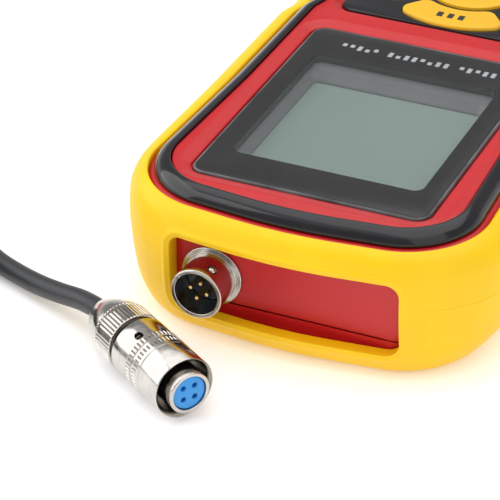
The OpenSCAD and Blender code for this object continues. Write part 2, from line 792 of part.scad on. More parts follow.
module probe_tip() {
    color("silver") at_probe() translate([0, 0, probe_len - tip_len]) rotate_extrude() polygon([
        [0, 0], [rod_r - 0.15, 0], [rod_r, 0.15], [rod_r, 3.6], [rod_r - 0.08, 4.2],
        [rod_r - 0.35, 5.2], [0.8, tip_len - 1.1], [0.5, tip_len - 0.4], [0, tip_len]
    ]);
}

boot();
front_shell();
rear_shell();
bezel_ring();
display_lens();
lens_print();
lcd_frame();
lcd_panel();
lcd_backlight();
lcd_contact_strips();
keypad_panel();
keypad_membrane();
power_button();
set_button();
left_button();
right_button();
far_button();
main_board();
board_parts();
buzzer();
board_screws();
case_screws();
socket_shell();
socket_insulator();
socket_pins();
socket_ball();
socket_nut();
socket_leads();
battery_door();
battery_cells();
battery_contacts();
plug_sleeve();
plug_body();
plug_insulator();
plug_contacts();
plug_spring();
plug_nut();
plug_clamp();
cord_lead();
cord_coil();
cord_tail();
cord_tie();
probe_relief();
probe_handle();
probe_cap();
probe_rod();
probe_insulator();
probe_tip();
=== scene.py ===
"""Looks of the grain moisture meter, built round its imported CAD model.

Lengths are in millimetres in the row frame, and MM turns them into Blender's metres.
The meter's middle is at the origin, its socket end faces -Y and its display faces +Z.
"""

import json
import math
import random

import bmesh
import bpy
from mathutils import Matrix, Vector
from mathutils.geometry import tessellate_polygon


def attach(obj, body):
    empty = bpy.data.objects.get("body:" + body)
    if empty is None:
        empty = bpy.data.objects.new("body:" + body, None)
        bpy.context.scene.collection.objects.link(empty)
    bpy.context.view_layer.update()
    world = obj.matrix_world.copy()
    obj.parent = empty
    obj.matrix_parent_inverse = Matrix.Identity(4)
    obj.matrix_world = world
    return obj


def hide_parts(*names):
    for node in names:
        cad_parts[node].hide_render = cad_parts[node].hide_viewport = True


MM = 0.001
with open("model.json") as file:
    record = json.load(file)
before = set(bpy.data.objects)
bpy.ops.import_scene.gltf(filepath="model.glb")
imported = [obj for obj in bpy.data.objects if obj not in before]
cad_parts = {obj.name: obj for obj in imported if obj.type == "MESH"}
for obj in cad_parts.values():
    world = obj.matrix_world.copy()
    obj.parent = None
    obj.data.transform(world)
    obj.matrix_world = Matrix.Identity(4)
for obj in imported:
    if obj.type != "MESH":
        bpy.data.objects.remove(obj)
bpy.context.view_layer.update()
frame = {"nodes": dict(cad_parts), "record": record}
nodes = frame["nodes"]

# ---------------------------------------------------------------- sizes shared with the CAD

BODY_HALF = 33.0
BODY_NEAR_Y = -83.2
BODY_FAR_Y = 83.8
BODY = [
    (0, BODY_NEAR_Y, 90), (BODY_HALF, BODY_NEAR_Y + 3.6, 16), (BODY_HALF - 2.0, -36, 80),
    (BODY_HALF - 2.3, -4, 8), (BODY_HALF - 3.4, -0.5, 8), (BODY_HALF - 3.8, BODY_FAR_Y - 3.8, 19),
    (0, BODY_FAR_Y, 90),
]
BOOT_HALF = BODY_HALF + 4.9
BOOT_X = 0.6
BOOT = [
    (0, BODY_NEAR_Y - 3.5, 95), (BOOT_HALF, BODY_NEAR_Y + 0.9, 22), (BOOT_HALF - 1.2, -34, 80),
    (BOOT_HALF - 1.4, -3, 3), (BOOT_HALF - 2.4, 0.5, 3), (BOOT_HALF - 3.0, BODY_FAR_Y + 0.6, 24),
    (0, BODY_FAR_Y + 4.7, 95),
]
SPLIT_Z = 7.0
FACE_Z = 28.2
LENS_Z = 27.9
POCKET_Z = 26.3
END_FLAT_Y = -80.6
END_FLAT_HALF = 21.2
END_FLAT_HIGH_Z = 21.8
LENS = (22.9, -72.1, -11.4)
LENS_VIEW = (18.6, -63.1, -22.3)
LCD = (16.8, -62.4, -27.2)
LCD_Z = 24.4
PANEL = (22.2, -2.7, 37.5)
KEYS_Y = 15.6
SOCKET = Vector((-14.2, 0, 12.4))
PLUG = Vector((-7.7, -106.9, 5.9))
PLUG_TURN = math.radians(-34)
CORD_D = 3.9
COIL = Vector((-93, -88, 0))
PROBE = Vector((-152, -52, 9.5))
PROBE_LEN = 220

LEAD_ROUTE = [
    (-24.7, -95.4, 5.9), (-30.6, -91.5, 5.9), (-33.4, -89.6, 5.7), (-37.6, -87.3, 4.9),
    (-42.2, -85.5, 3.9), (-47.6, -83.4, 3.0), (-53.5, -80.7, 2.3), (-59.5, -77.7, 2.0),
    (-65.0, -73.9, 2.0), (-69.8, -68.9, 2.0)
]
TAIL_ROUTE = [
    (-112.0, -64.7, 6.0), (-116.6, -68.6, 6.0), (-121.2, -72.9, 5.9), (-125.3, -77.6, 5.0),
    (-128.7, -82.9, 3.6), (-131.7, -88.4, 2.5), (-135.8, -93.0, 2.1), (-141.2, -95.0, 2.2),
    (-146.4, -92.9, 2.9), (-149.9, -87.8, 4.6), (-151.6, -81.8, 7.1), (-152.0, -76.2, 9.3),
    (-152.0, -71.0, 10.1)
]

# ---------------------------------------------------------------- materials


def material(name, colour, rough, **sockets):
    """A Principled material. Other sockets are given by name with _ for a space."""
    m = bpy.data.materials.new(name)
    m.use_nodes = True
    shader = m.node_tree.nodes["Principled BSDF"]
    shader.inputs["Base Color"].default_value = (*colour, 1)
    shader.inputs["Roughness"].default_value = rough
    for socket, value in sockets.items():
        shader.inputs[socket.replace("_", " ")].default_value = value
    return m


def add(m, kind, **settings):
    node = m.node_tree.nodes.new(kind)
    for key, value in settings.items():
        setattr(node, key, value)
    return node


def link(m, out, socket):
    m.node_tree.links.new(out, socket)


def shader_of(m):
    return m.node_tree.nodes["Principled BSDF"]


def noise(m, size, detail=3.0, stretch=(1, 1, 1)):
    """Noise whose blobs are about size millimetres, divided by stretch along each axis."""
    coords = add(m, "ShaderNodeTexCoord")
    mapping = add(m, "ShaderNodeMapping")
    mapping.inputs["Scale"].default_value = stretch
    link(m, coords.outputs["Object"], mapping.inputs["Vector"])
    tex = add(m, "ShaderNodeTexNoise")
    tex.inputs["Scale"].default_value = 1 / (size * MM)
    tex.inputs["Detail"].default_value = detail
    link(m, mapping.outputs["Vector"], tex.inputs["Vector"])
    return tex.outputs["Fac"]


def ramp(m, value, *stops):
    """Colours along value. Each stop is (position, colour)."""
    node = add(m, "ShaderNodeValToRGB")
    band = node.color_ramp
    while len(band.elements) < len(stops):
        band.elements.new(0.5)
    for element, (position, colour) in zip(band.elements, stops):
        element.position = position
        element.color = (*colour, 1)
    link(m, value, node.inputs["Fac"])
    return node.outputs["Color"]


def remap(m, value, low, high, from_low=0.3, from_high=0.7):
    node = add(m, "ShaderNodeMapRange")
    for socket, number in zip(
        ("From Min", "From Max", "To Min", "To Max"), (from_low, from_high, low, high)
    ):
        node.inputs[socket].default_value = number
    link(m, value, node.inputs["Value"])
    return node.outputs["Result"]


def bump(m, height, strength, depth=0.05):
    """Surface relief. depth is in millimetres."""
    node = add(m, "ShaderNodeBump")
    node.inputs["Strength"].default_value = strength
    node.inputs["Distance"].default_value = depth * MM
    link(m, height, node.inputs["Height"])
    link(m, node.outputs["Normal"], shader_of(m).inputs["Normal"])


def moulded(name, colour, rough, grain=0.4, relief=0.2, shade=0.9, spread=0.04, **sockets):
    """Moulded plastic or rubber: a fine grain, uneven gloss and slow changes of colour."""
    m = material(name, colour, rough, **sockets)
    dark = tuple(c * shade for c in colour)
    tint = ramp(m, noise(m, 9, 2.0), (0.35, dark), (0.65, colour))
    link(m, tint, shader_of(m).inputs["Base Color"])
    gloss = remap(m, noise(m, 3, 4.0), rough - spread, rough + spread)
    link(m, gloss, shader_of(m).inputs["Roughness"])
    bump(m, noise(m, grain, 2.0), relief, 0.03)
    return m


def metal(name, colour, rough, line=0.25, relief=0.1, stretch=(1, 1, 1), stain=0.85):
    """Plated or brushed metal with fine marks and slightly uneven plating."""
    m = material(name, colour, rough, Metallic=1.0)
    dull = tuple(c * stain for c in colour)
    tint = ramp(m, noise(m, 2.5, 5.0), (0.35, dull), (0.6, colour))
    link(m, tint, shader_of(m).inputs["Base Color"])
    gloss = remap(m, noise(m, 0.8, 4.0), max(rough - 0.06, 0.03), rough + 0.08)
    link(m, gloss, shader_of(m).inputs["Roughness"])
    bump(m, noise(m, line, 3.0, stretch), relief, 0.01)
    return m


def make_materials():
    """One material for each of the record's slots."""
    lens = material("lens_clear", (0.3, 0.33, 0.32), 0.04, Alpha=0.1, IOR=1.49)
    bump(lens, noise(lens, 8, 1.0), 0.05, 0.02)
    lcd = material("lcd_glass", (0.225, 0.305, 0.27), 0.22)
    tint = ramp(lcd, noise(lcd, 30, 1.0), (0.3, (0.218, 0.296, 0.262)), (0.7, (0.234, 0.317, 0.28)))
    link(lcd, tint, shader_of(lcd).inputs["Base Color"])
    bump(lcd, noise(lcd, 12, 1.0), 0.03, 0.02)
    return {
        "boot_silicone": moulded(
            "boot_silicone", (0.98, 0.6, 0.003), 0.44, 0.35, 0.2, 0.95, Specular_IOR_Level=0.35),
        "red_plastic": moulded(
            "red_plastic", (0.57, 0.01, 0.014), 0.34, 0.5, 0.04, 0.95, 0.02),
        "black_gloss": moulded(
            "black_gloss", (0.014, 0.014, 0.017), 0.12, 6.0, 0.04, 0.8, 0.03),
        "lens_clear": lens,
        "lens_print": moulded(
            "lens_print", (0.02, 0.02, 0.02), 0.24, 9.0, 0.03, 0.85, 0.03),
        "frame_grey": moulded("frame_grey", (0.14, 0.142, 0.155), 0.4, 0.4, 0.15, 0.93),
        "lcd_glass": lcd,
        "diffuser_white": moulded("diffuser_white", (0.8, 0.82, 0.78), 0.5),
        "dark_rubber": moulded("dark_rubber", (0.025, 0.025, 0.027), 0.6, 0.4, 0.4, 0.8),
        "key_yellow": moulded("key_yellow", (0.86, 0.48, 0.01), 0.45, 0.3, 0.2, 0.95),
        "membrane_grey": moulded("membrane_grey", (0.3, 0.32, 0.34), 0.6),
        "board_green": moulded("board_green", (0.01, 0.12, 0.04), 0.3, 1.2, 0.3, 0.7),
        "chip_black": moulded("chip_black", (0.02, 0.02, 0.02), 0.55),
        "screw_steel": metal("screw_steel", (0.55, 0.55, 0.55), 0.32),
        "nickel": metal("nickel", (0.58, 0.552, 0.515), 0.15, stain=0.86),
        "gold": metal("gold", (0.95, 0.66, 0.27), 0.2),
        "insulator_dark": moulded("insulator_dark", (0.012, 0.03, 0.06), 0.25),
        "insulator_blue": moulded("insulator_blue", (0.03, 0.3, 0.75), 0.38, 0.3, 0.2, 0.95),
        "wire_orange": moulded("wire_orange", (0.8, 0.2, 0.03), 0.45),
        "cell_blue": moulded("cell_blue", (0.05, 0.16, 0.35), 0.3),
        "cord_rubber": moulded("cord_rubber", (0.03, 0.032, 0.036), 0.42, 0.5, 0.3, 0.85),
        "handle_red": moulded("handle_red", (0.6, 0.03, 0.04), 0.4, 0.6, 0.5, 0.9),
        "probe_steel": metal("probe_steel", (0.62, 0.61, 0.6), 0.26, 0.5, 0.5, (12, 1, 12)),
        "ring_white": moulded("ring_white", (0.82, 0.8, 0.74), 0.42),
    }


MATERIALS = make_materials()
MATERIALS["mark_grey"] = moulded("mark_grey", (0.4, 0.42, 0.44), 0.5)
# The lens's clear edge as an opaque lighter grey, strongly patchy: painted uneven glint along the edge.
MATERIALS["rim_painted_glint"] = moulded(
    "rim_painted_glint", (0.16, 0.165, 0.17), 0.16, 3.0, 0.1, 0.4, 0.05, Coat_Weight=0.5)
# A dark metal that paints the shade in the plug's grooves and cuts and inside its side hole.
MATERIALS["painted_shade_metal"] = metal("painted_shade_metal", (0.2, 0.18, 0.155), 0.35)
MATERIALS["mark_black"] = moulded("mark_black", (0.02, 0.02, 0.02), 0.5)

# ---------------------------------------------------------------- outlines


def unit(x, y):
    size = math.hypot(x, y)
    return x / size, y / size


def fillet(points, inset=0.0, step=6.0):
    """A closed outline through (x, y, fillet radius) points, moved inwards by inset."""
    line = []
    for i, (x, y, r) in enumerate(points):
        ax, ay = unit(points[i - 1][0] - x, points[i - 1][1] - y)
        after = points[(i + 1) % len(points)]
        bx, by = unit(after[0] - x, after[1] - y)
        turn = 1 if ay * bx - ax * by > 0 else -1
        half = math.acos(max(-1.0, min(1.0, ax * bx + ay * by))) / 2
        mx, my = unit(ax + bx, ay + by)
        far = r / math.sin(half)
        radius = max(r - turn * inset, 0.01)
        sweep = math.pi - 2 * half
        steps = max(1, math.ceil(math.degrees(sweep) / step)) if r else 1
        middle = math.atan2(-my, -mx)
        for k in range(steps + 1):
            t = middle + turn * sweep * (k / steps - 0.5)
            line.append((x + mx * far + radius * math.cos(t), y + my * far + radius * math.sin(t)))
    return line


def whole(half):
    """A closed outline from its half on the +X side, which starts and ends on the middle line."""
    return half + [(-x, y, r) for x, y, r in half[-2:0:-1]]


def rounded_box(half, near, far, r, inset=0.0, step=6.0):
    corners = [(half, near, r), (half, far, r), (-half, far, r), (-half, near, r)]
    return fillet(corners, inset, step)


def lerp(a, b, t):
    return tuple(p + (q - p) * t for p, q in zip(a, b))


def smooth_line(points, per=6):
    """A curve through the points, with per steps between each pair (Catmull-Rom)."""
    ends = [lerp(points[1], points[0], 2), *points, lerp(points[-2], points[-1], 2)]
    line = []
    for p0, p1, p2, p3 in zip(ends, ends[1:], ends[2:], ends[3:]):
        for k in range(per):
            t = k / per
            line.append(tuple(
                0.5 * (2 * b + (c - a) * t + (2 * a - 5 * b + 4 * c - d) * t * t
                       + (3 * b - a - 3 * c + d) * t ** 3)
                for a, b, c, d in zip(p0, p1, p2, p3)))
    line.append(points[-1])
    return line


def interpolate(x, line):
    """y at x on a line of (x, y) points with rising x."""
    for (x0, y0), (x1, y1) in zip(line, line[1:]):
        if x <= x1:
            return y0 + (y1 - y0) * (x - x0) / max(x1 - x0, 1e-9)
    return line[-1][1]


FRONT_X = 27.0
FRONT_COLUMNS = 55
REST_COLUMNS = 330


def columns(half, inset=0.0, shift=0.0):
    """Points round an outline: even steps in x across the socket end, then even steps round."""
    line = [(x + shift, y) for x, y in fillet(whole(half), inset, 1.0)]
    reach = FRONT_X - max(inset, 0)
    end = sorted(p for p in line if p[1] < BODY_NEAR_Y + 16)
    xs = [reach * (2 * i / (FRONT_COLUMNS - 1) - 1) for i in range(FRONT_COLUMNS)]
    front = [(x, interpolate(x, end)) for x in xs]
    start = next(i for i, p in enumerate(line) if p[0] > reach)
    stop = next(i for i in range(len(line) - 1, 0, -1) if line[i][0] < -reach and line[i][1] < 0)
    rest = [front[-1], *line[start:stop + 1], front[0]]
    along = [0.0]
    for p, q in zip(rest, rest[1:]):
        along.append(along[-1] + math.dist(p, q))
    marks = [along[-1] * k / REST_COLUMNS for k in range(1, REST_COLUMNS)]
    xs = list(zip(along, [p[0] for p in rest]))
    ys = list(zip(along, [p[1] for p in rest]))
    return front + [(interpolate(s, xs), interpolate(s, ys)) for s in marks]


# ---------------------------------------------------------------- meshes

MERGE_M = 2e-7
SHARP = 38          # degrees between faces that shade as a hard edge


def new_object(name, data):
    obj = bpy.data.objects.new(name, data)
    bpy.context.scene.collection.objects.link(obj)
    return obj


class Build:
    """Collects a mesh's vertices and faces."""

    def __init__(self):
        self.verts = []
        self.faces = []

    def ring(self, points):
        start = len(self.verts)
        self.verts.extend(points)
        return list(range(start, len(self.verts)))

    def level(self, points, z):
        return self.ring([(x, y, z) for x, y in points])

    def join(self, a, b):
        """Faces between two rings. A ring of one point makes a fan."""
        count = max(len(a), len(b))
        for i in range(count):
            j = (i + 1) % count
            face = [a[i % len(a)], a[j % len(a)], b[j % len(b)], b[i % len(b)]]
            self.faces.append(list(dict.fromkeys(face)))

    def skin(self, rings, loop=False):
        for a, b in zip(rings, rings[1:]):
            self.join(a, b)
        if loop:
            self.join(rings[-1], rings[0])

    def fill(self, *rings):
        """Flat faces inside the first ring and outside the others."""
        indices = [i for ring in rings for i in ring]
        loops = [[Vector(self.verts[i]) for i in ring] for ring in rings]
        for triangle in tessellate_polygon(loops):
            self.faces.append([indices[i] for i in triangle])

    def mesh(self, name):
        """The mesh in metres, with doubled vertices merged and faces turned outwards."""
        mesh = bpy.data.meshes.new(name)
        mesh.from_pydata([tuple(c * MM for c in v) for v in self.verts], [], self.faces)
        shape = bmesh.new()
        shape.from_mesh(mesh)
        bmesh.ops.remove_doubles(shape, verts=shape.verts, dist=MERGE_M)
        bmesh.ops.recalc_face_normals(shape, faces=shape.faces)
        shape.to_mesh(mesh)
        shape.free()
        return mesh

    def piece(self, name, slot, body="meter", replaces=(), sharp=SHARP):
        """A shown piece that rides on body and stands for the CAD nodes in replaces."""
        mesh = self.mesh(name)
        mesh.shade_smooth()
        mesh.set_sharp_from_angle(angle=math.radians(sharp))
        mesh.materials.append(MATERIALS[slot])
        obj = new_object(name, mesh)
        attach(obj, body)
        if replaces:
            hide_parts(*replaces)
        return obj


def stack(name, slot, outline, profile, **more):
    """A closed solid through rings. outline(inset) gives a ring, profile is (z, inset) pairs."""
    b = Build()
    rings = [b.level(outline(inset), z) for z, inset in profile]
    b.skin(rings)
    b.fill(rings[0])
    b.fill(rings[-1])
    return b.piece(name, slot, **more)


def hollow_plate(name, slot, outer, inner, profile, well, **more):
    """As stack, with a hole. profile goes up the outside, and well down the hole's side."""
    b = Build()
    outside = [b.level(outer(inset), z) for z, inset in profile]
    inside = [b.level(inner(inset), z) for z, inset in well]
    b.skin(outside)
    b.skin(inside)
    b.fill(outside[-1], inside[0])
    b.fill(outside[0], inside[-1])
    return b.piece(name, slot, **more)


def frame_of(axis):
    """Two directions square to axis, the first of them the nearest to straight up, and axis."""
    axis = Vector(axis).normalized()
    first = (Vector((0, 0, 1)) - axis * axis.z).normalized()
    return first, axis.cross(first), axis


def lathe(b, profile, origin, axis, segs=96, radius=None, closed=True):
    """Turns a profile of (r, s) points about an axis. radius(r, s, angle) can change r."""
    first, second, axis = frame_of(axis)
    rings = []
    for r, s in profile:
        centre = Vector(origin) + axis * s
        if r < 1e-6:
            rings.append(b.ring([tuple(centre)]))
            continue
        points = []
        for k in range(segs):
            t = 2 * math.pi * k / segs
            rr = radius(r, s, t) if radius else r
            points.append(tuple(centre + (first * math.cos(t) + second * math.sin(t)) * rr))
        rings.append(b.ring(points))
    b.skin(rings, loop=closed)


def turned(name, slot, profile, origin, axis, segs=96, radius=None, closed=True, **more):
    b = Build()
    lathe(b, profile, origin, axis, segs, radius, closed)
    return b.piece(name, slot, **more)


def cut(obj, cutters):
    """Takes the cutters' shapes out of obj for good."""
    for cutter in cutters:
        tool = obj.modifiers.new("cut", "BOOLEAN")
        tool.object = cutter
        tool.solver = "EXACT"
    shape = bpy.data.meshes.new_from_object(
        obj.evaluated_get(bpy.context.evaluated_depsgraph_get()))
    obj.modifiers.clear()
    obj.data = shape
    obj.data.set_sharp_from_angle(angle=math.radians(SHARP))
    for cutter in cutters:
        bpy.data.objects.remove(cutter)


def cutter(profile, origin, axis, segs=32, radius=None):
    """A turned solid to cut with."""
    b = Build()
    lathe(b, profile, origin, axis, segs, radius, closed=False)
    obj = new_object("cutter", b.mesh("cutter"))
    bpy.context.view_layer.update()
    return obj


def rod_cutter(r, s0, s1, origin, axis):
    return cutter([(0, s0), (r, s0), (r, s1), (0, s1)], origin, axis)


# ---------------------------------------------------------------- camera

CAMERA_PLACE = Vector((175.7, -494.6, 299.9))
CAMERA_AZIMUTH = 23.8
CAMERA_ELEVATION = 31.8
LENS_MM = 216


def make_camera():
    data = bpy.data.cameras.new("camera")
    data.lens = LENS_MM
    data.sensor_width = 36
    data.clip_end = 20
    camera = new_object("camera", data)
    camera.location = CAMERA_PLACE * MM
    tilt = math.radians(90 - CAMERA_ELEVATION)
    camera.rotation_euler = (tilt, 0, math.radians(CAMERA_AZIMUTH))
    bpy.context.scene.camera = camera


# ---------------------------------------------------------------- cord


def coil_turns():
    """The coil's centre line: in on the bottom layer, up one layer, and out on the top one."""
    start = math.atan2(LEAD_ROUTE[-1][1] - COIL.y, LEAD_ROUTE[-1][0] - COIL.x)
    stop = math.atan2(TAIL_ROUTE[0][1] - COIL.y, TAIL_ROUTE[0][0] - COIL.x)
    wide, narrow, low, high = 30.0, 18.0, 2.0, 6.0
    turns = 3
    steps = 48
    line = []
    for k in range(1, turns * steps):
        share = k / (turns * steps)
        line.append((start + 2 * math.pi * turns * share, wide + (narrow - wide) * share, low))
    for k in range(10):
        share = k / 9
        ease = share * share * (3 - 2 * share)
        line.append((start + (stop - start) * share, narrow, low + (high - low) * ease))
    for k in range(1, turns * steps):
        share = k / (turns * steps)
        line.append((stop + 2 * math.pi * turns * share, narrow + (wide - narrow) * share, high))
    return [(COIL.x + r * math.cos(t), COIL.y + r * math.sin(t), z) for t, r, z in line]


def line_length(points):
    return sum(math.dist(p, q) for p, q in zip(points, points[1:]))


def make_cord():
    path = [*smooth_line(LEAD_ROUTE, 4), *coil_turns(), *smooth_line(TAIL_ROUTE, 4)]
    data = bpy.data.curves.new("cord", "CURVE")
    data.dimensions = "3D"
    data.bevel_depth = CORD_D / 2 * MM
    data.bevel_resolution = 5
    data.use_fill_caps = True
    spline = data.splines.new("POLY")
    spline.points.add(len(path) - 1)
    for point, place in zip(spline.points, path):
        point.co = (*(c * MM for c in place), 1)
    spline.use_smooth = True
    obj = new_object("cord", data)
    data.materials.append(MATERIALS["cord_rubber"])
    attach(obj, "meter")
    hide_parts("cord_lead", "cord_coil", "cord_tail")
    return obj, line_length(path)


# ---------------------------------------------------------------- boot

WINDOW_HALF = 22.0
WINDOW_LOW_Z = 5.6
WINDOW_HIGH_Z = 20.8
WINDOW_R = 2.6
BOOT_FLOOR = 2.5
PATCH_LOW_Z = 3.0
PATCH_HIGH_Z = 23.0


def make_boot():
    """A thick skin between the boot's outline and the body's, with a beaded end window."""
    outer, inner = columns(BOOT, shift=BOOT_X), columns(BODY, -0.02)

    def ring_at(z, depth):
        return [(*lerp(p, q, depth), z) for p, q in zip(outer, inner)]

    # depth is 0 on the outside, 1 against the body's sides, and more under its rounded edge
    foot = smooth_line([(0, 1.65), (0.12, 1.5), (0.5, 1.28), (1.6, 0.93), (PATCH_LOW_Z, 0.66)], 4)
    side = smooth_line([
        (PATCH_LOW_Z, 0.66), (4.5, 0.46), (6.5, 0.29), (11, 0.11), (15.2, 0.02), (18.5, 0),
        (21.5, 0.045), (PATCH_HIGH_Z, 0.14)], 12)
    lining = [(BOOT_FLOOR, 1.85), (3.2, 1.42), (4.4, 1.14), (SPLIT_Z, 1.0), (FACE_Z, 1.0)]
    rim = smooth_line([
        (PATCH_HIGH_Z, 0.14), (24.2, 0.27), (25.3, 0.48), (25.95, 0.72), (26.15, 0.88),
        (26.1, 0.96), (25.9, 1.0)], 5)
    seam_z = 15.7
    levels = [PATCH_LOW_Z + k for k in range(1, int(PATCH_HIGH_Z - PATCH_LOW_Z))]
    levels = sorted(levels + [seam_z - 0.14, seam_z, seam_z + 0.14])
    middle = [(z, interpolate(z, side) - (0.02 if z == seam_z else 0)) for z in levels]
    profile = foot + middle + rim
    first = len(foot) - 1
    last = len(foot) + len(middle)

    b = Build()
    outside = [b.ring(ring_at(z, depth)) for z, depth in profile]
    inner_levels = [25.0, PATCH_HIGH_Z, *levels[::-1], PATCH_LOW_Z, BOOT_FLOOR]
    inside = [b.ring(ring_at(z, interpolate(z, lining))) for z in inner_levels]
    rows = outside + inside
    holes = (range(first, last), range(len(outside) + 1, len(outside) + len(inner_levels) - 2))
    for k, (low, high) in enumerate(zip(rows, rows[1:])):
        skip = any(k in hole for hole in holes)
        for i in range(FRONT_COLUMNS - 1 if skip else 0, len(low)):
            j = (i + 1) % len(low)
            b.faces.append([low[i], low[j], high[j], high[i]])

    def border(rings):
        front = range(FRONT_COLUMNS)
        return (
            [rings[0][i] for i in front] + [ring[front[-1]] for ring in rings[1:-1]]
            + [rings[-1][i] for i in reversed(front)] + [ring[0] for ring in rings[-2:0:-1]])

    outer_front, inner_front = outer[:FRONT_COLUMNS], inner[:FRONT_COLUMNS]

    def window_ring(edge, away, raise_by=0.0, depth=None):
        """Round the window, away from its edge, raised off the skin or at a set depth."""
        points = []
        for i in edge:
            x, _, z = b.verts[i]
            core_x = max(-WINDOW_HALF + WINDOW_R, min(WINDOW_HALF - WINDOW_R, x - BOOT_X))
            core_z = max(WINDOW_LOW_Z + WINDOW_R, min(WINDOW_HIGH_Z - WINDOW_R, z))
            dx, dz = unit(x - BOOT_X - core_x, z - core_z)
            x = BOOT_X + core_x + dx * (WINDOW_R + away)
            z = core_z + dz * (WINDOW_R + away)
            share = interpolate(z, side) if depth is None else depth
            y = lerp((interpolate(x, outer_front),), (interpolate(x, inner_front),), share)[0]
            points.append((x, y - raise_by, z))
        return b.ring(points)

    edge = border(outside[first:last + 1])
    # (distance from the window's edge, height above the skin) across the bead
    bead = [(2.1, 0), (1.8, 0.02), (1.6, 0.14), (1.35, 0.3), (1.1, 0.34), (0.85, 0.26),
            (0.65, 0.1), (0.45, 0.03), (0.2, 0), (0.06, -0.1), (0, -0.3)]
    rings = [edge] + [window_ring(edge, away, rise) for away, rise in bead]
    rings += [window_ring(edge, -0.02, depth=share) for share in (0.35, 0.65, 1.0)]
    b.skin(rings)
    inner_edge = border(inside[1:-1][::-1])
    inner_ring = window_ring(inner_edge, 0, depth=1.0)
    b.join(inner_edge, inner_ring)
    b.join(inner_ring, rings[-1])

    def door_hole(z):
        return b.level([(x, y + 48.1) for x, y in rounded_box(21, -26.1, 26.1, 3)], z)

    under, over = door_hole(0), door_hole(BOOT_FLOOR)
    b.fill(outside[0], under)
    b.fill(inside[-1], over)
    b.join(under, over)
    b.piece("boot_skin", "boot_silicone", replaces=["boot"], sharp=50)


# ---------------------------------------------------------------- body


def body_ring(inset):
    return columns(BODY, inset)


def flat_ended(points):
    """Pulls the socket end back to the flat in the end wall."""
    return [
        (x, max(y, END_FLAT_Y) if abs(x) <= END_FLAT_HALF and y < 0 else y) for x, y in points]


def make_front_case():
    """The red front shell: rounded shoulder, face, and sloped pockets for lens and keys."""
    b = Build()
    wall = [(7.35, 0.4), (7.2, 0.25), (7.3, 0.08), (7.5, 0.0), (12, 0.0), (END_FLAT_HIGH_Z, 0.0)]
    rings = [b.level(flat_ended(body_ring(inset)), z) for z, inset in wall]
    shoulder = [(END_FLAT_HIGH_Z + 0.05, 0), (24.3, 0)]
    shoulder += smooth_line([(24.7, 0.03), (25.2, 0.2), (25.6, 0.6), (25.78, 1.1)], 4)
    shoulder += [(25.8, 1.6), (25.8, 4.15), (25.9, 4.2), (27.7, 4.3)]
    shoulder += smooth_line([(27.9, 4.32), (28.1, 4.42), (28.2, 4.65)], 3)
    rings += [b.level(body_ring(inset), z) for z, inset in shoulder]
    b.skin(rings)

    def pocket(size, r, slope):
        """Rings down a pocket: slope is (distance from what lies in it, height) pairs."""
        half, near, far = size
        return [
            b.level(rounded_box(half + away, near - away, far + away, r + away), z)
            for away, z in slope]

    lens_slope = smooth_line(
        [(3.0, FACE_Z), (2.8, 28.17), (1.7, 27.9), (0.65, 27.62), (0.45, 27.45), (0.36, 27.1)], 4)
    key_slope = smooth_line([(1.7, FACE_Z), (1.45, 28.12), (1.0, 27.8), (0.55, 27.5), (0.3, 27.45)], 4)
    lens_rings = pocket(LENS, 2.9, lens_slope + [(0.12, 27.0), (0.12, POCKET_Z)])
    key_rings = pocket(PANEL, 3.0, key_slope + [(0.12, 27.3), (0.12, POCKET_Z)])
    view = (LENS_VIEW[0] + 1, LENS_VIEW[1] - 1, LENS_VIEW[2] + 1)
    lens_well = pocket(view, 1.5, [(0, POCKET_Z), (0, 24.5)])
    key_well = pocket((20.2, -0.7, 35.5), 2, [(0, POCKET_Z), (0, 24.5)])
    b.fill(rings[-1], lens_rings[0], key_rings[0])
    for pocket_rings, well in ((lens_rings, lens_well), (key_rings, key_well)):
        b.skin(pocket_rings)
        b.fill(pocket_rings[-1], well[0])
        b.skin(well)
    hollow = [b.level(body_ring(6.2), 24.5), b.level(body_ring(6.2), 23.4)]
    hollow += [b.level(body_ring(4.6), 23.4), b.level(body_ring(4.6), 7.35)]
    b.fill(hollow[0], lens_well[-1], key_well[-1])
    b.skin(hollow)
    b.join(hollow[-1], rings[0])
    b.piece("front_case", "red_plastic", replaces=["front_shell"])


def make_bezel():
    """The glossy black ring round the face."""
    crown = smooth_line([
        (25.95, 1.42), (26.05, 1.22), (26.4, 1.12), (27.1, 1.4), (27.9, 2.0), (28.45, 2.8),
        (28.68, 3.5), (28.62, 3.95), (28.35, 4.12), (28.0, 4.16)], 4)
    b = Build()
    rings = [b.level(body_ring(inset), z) for z, inset in [*crown, (25.95, 4.14)]]
    b.skin(rings, loop=True)
    b.piece("bezel", "black_gloss", replaces=["bezel_ring"])


def lens_outline(inset):
    return rounded_box(*LENS, 2.9, inset)


def view_outline(inset):
    return rounded_box(*LENS_VIEW, 2.0, inset)


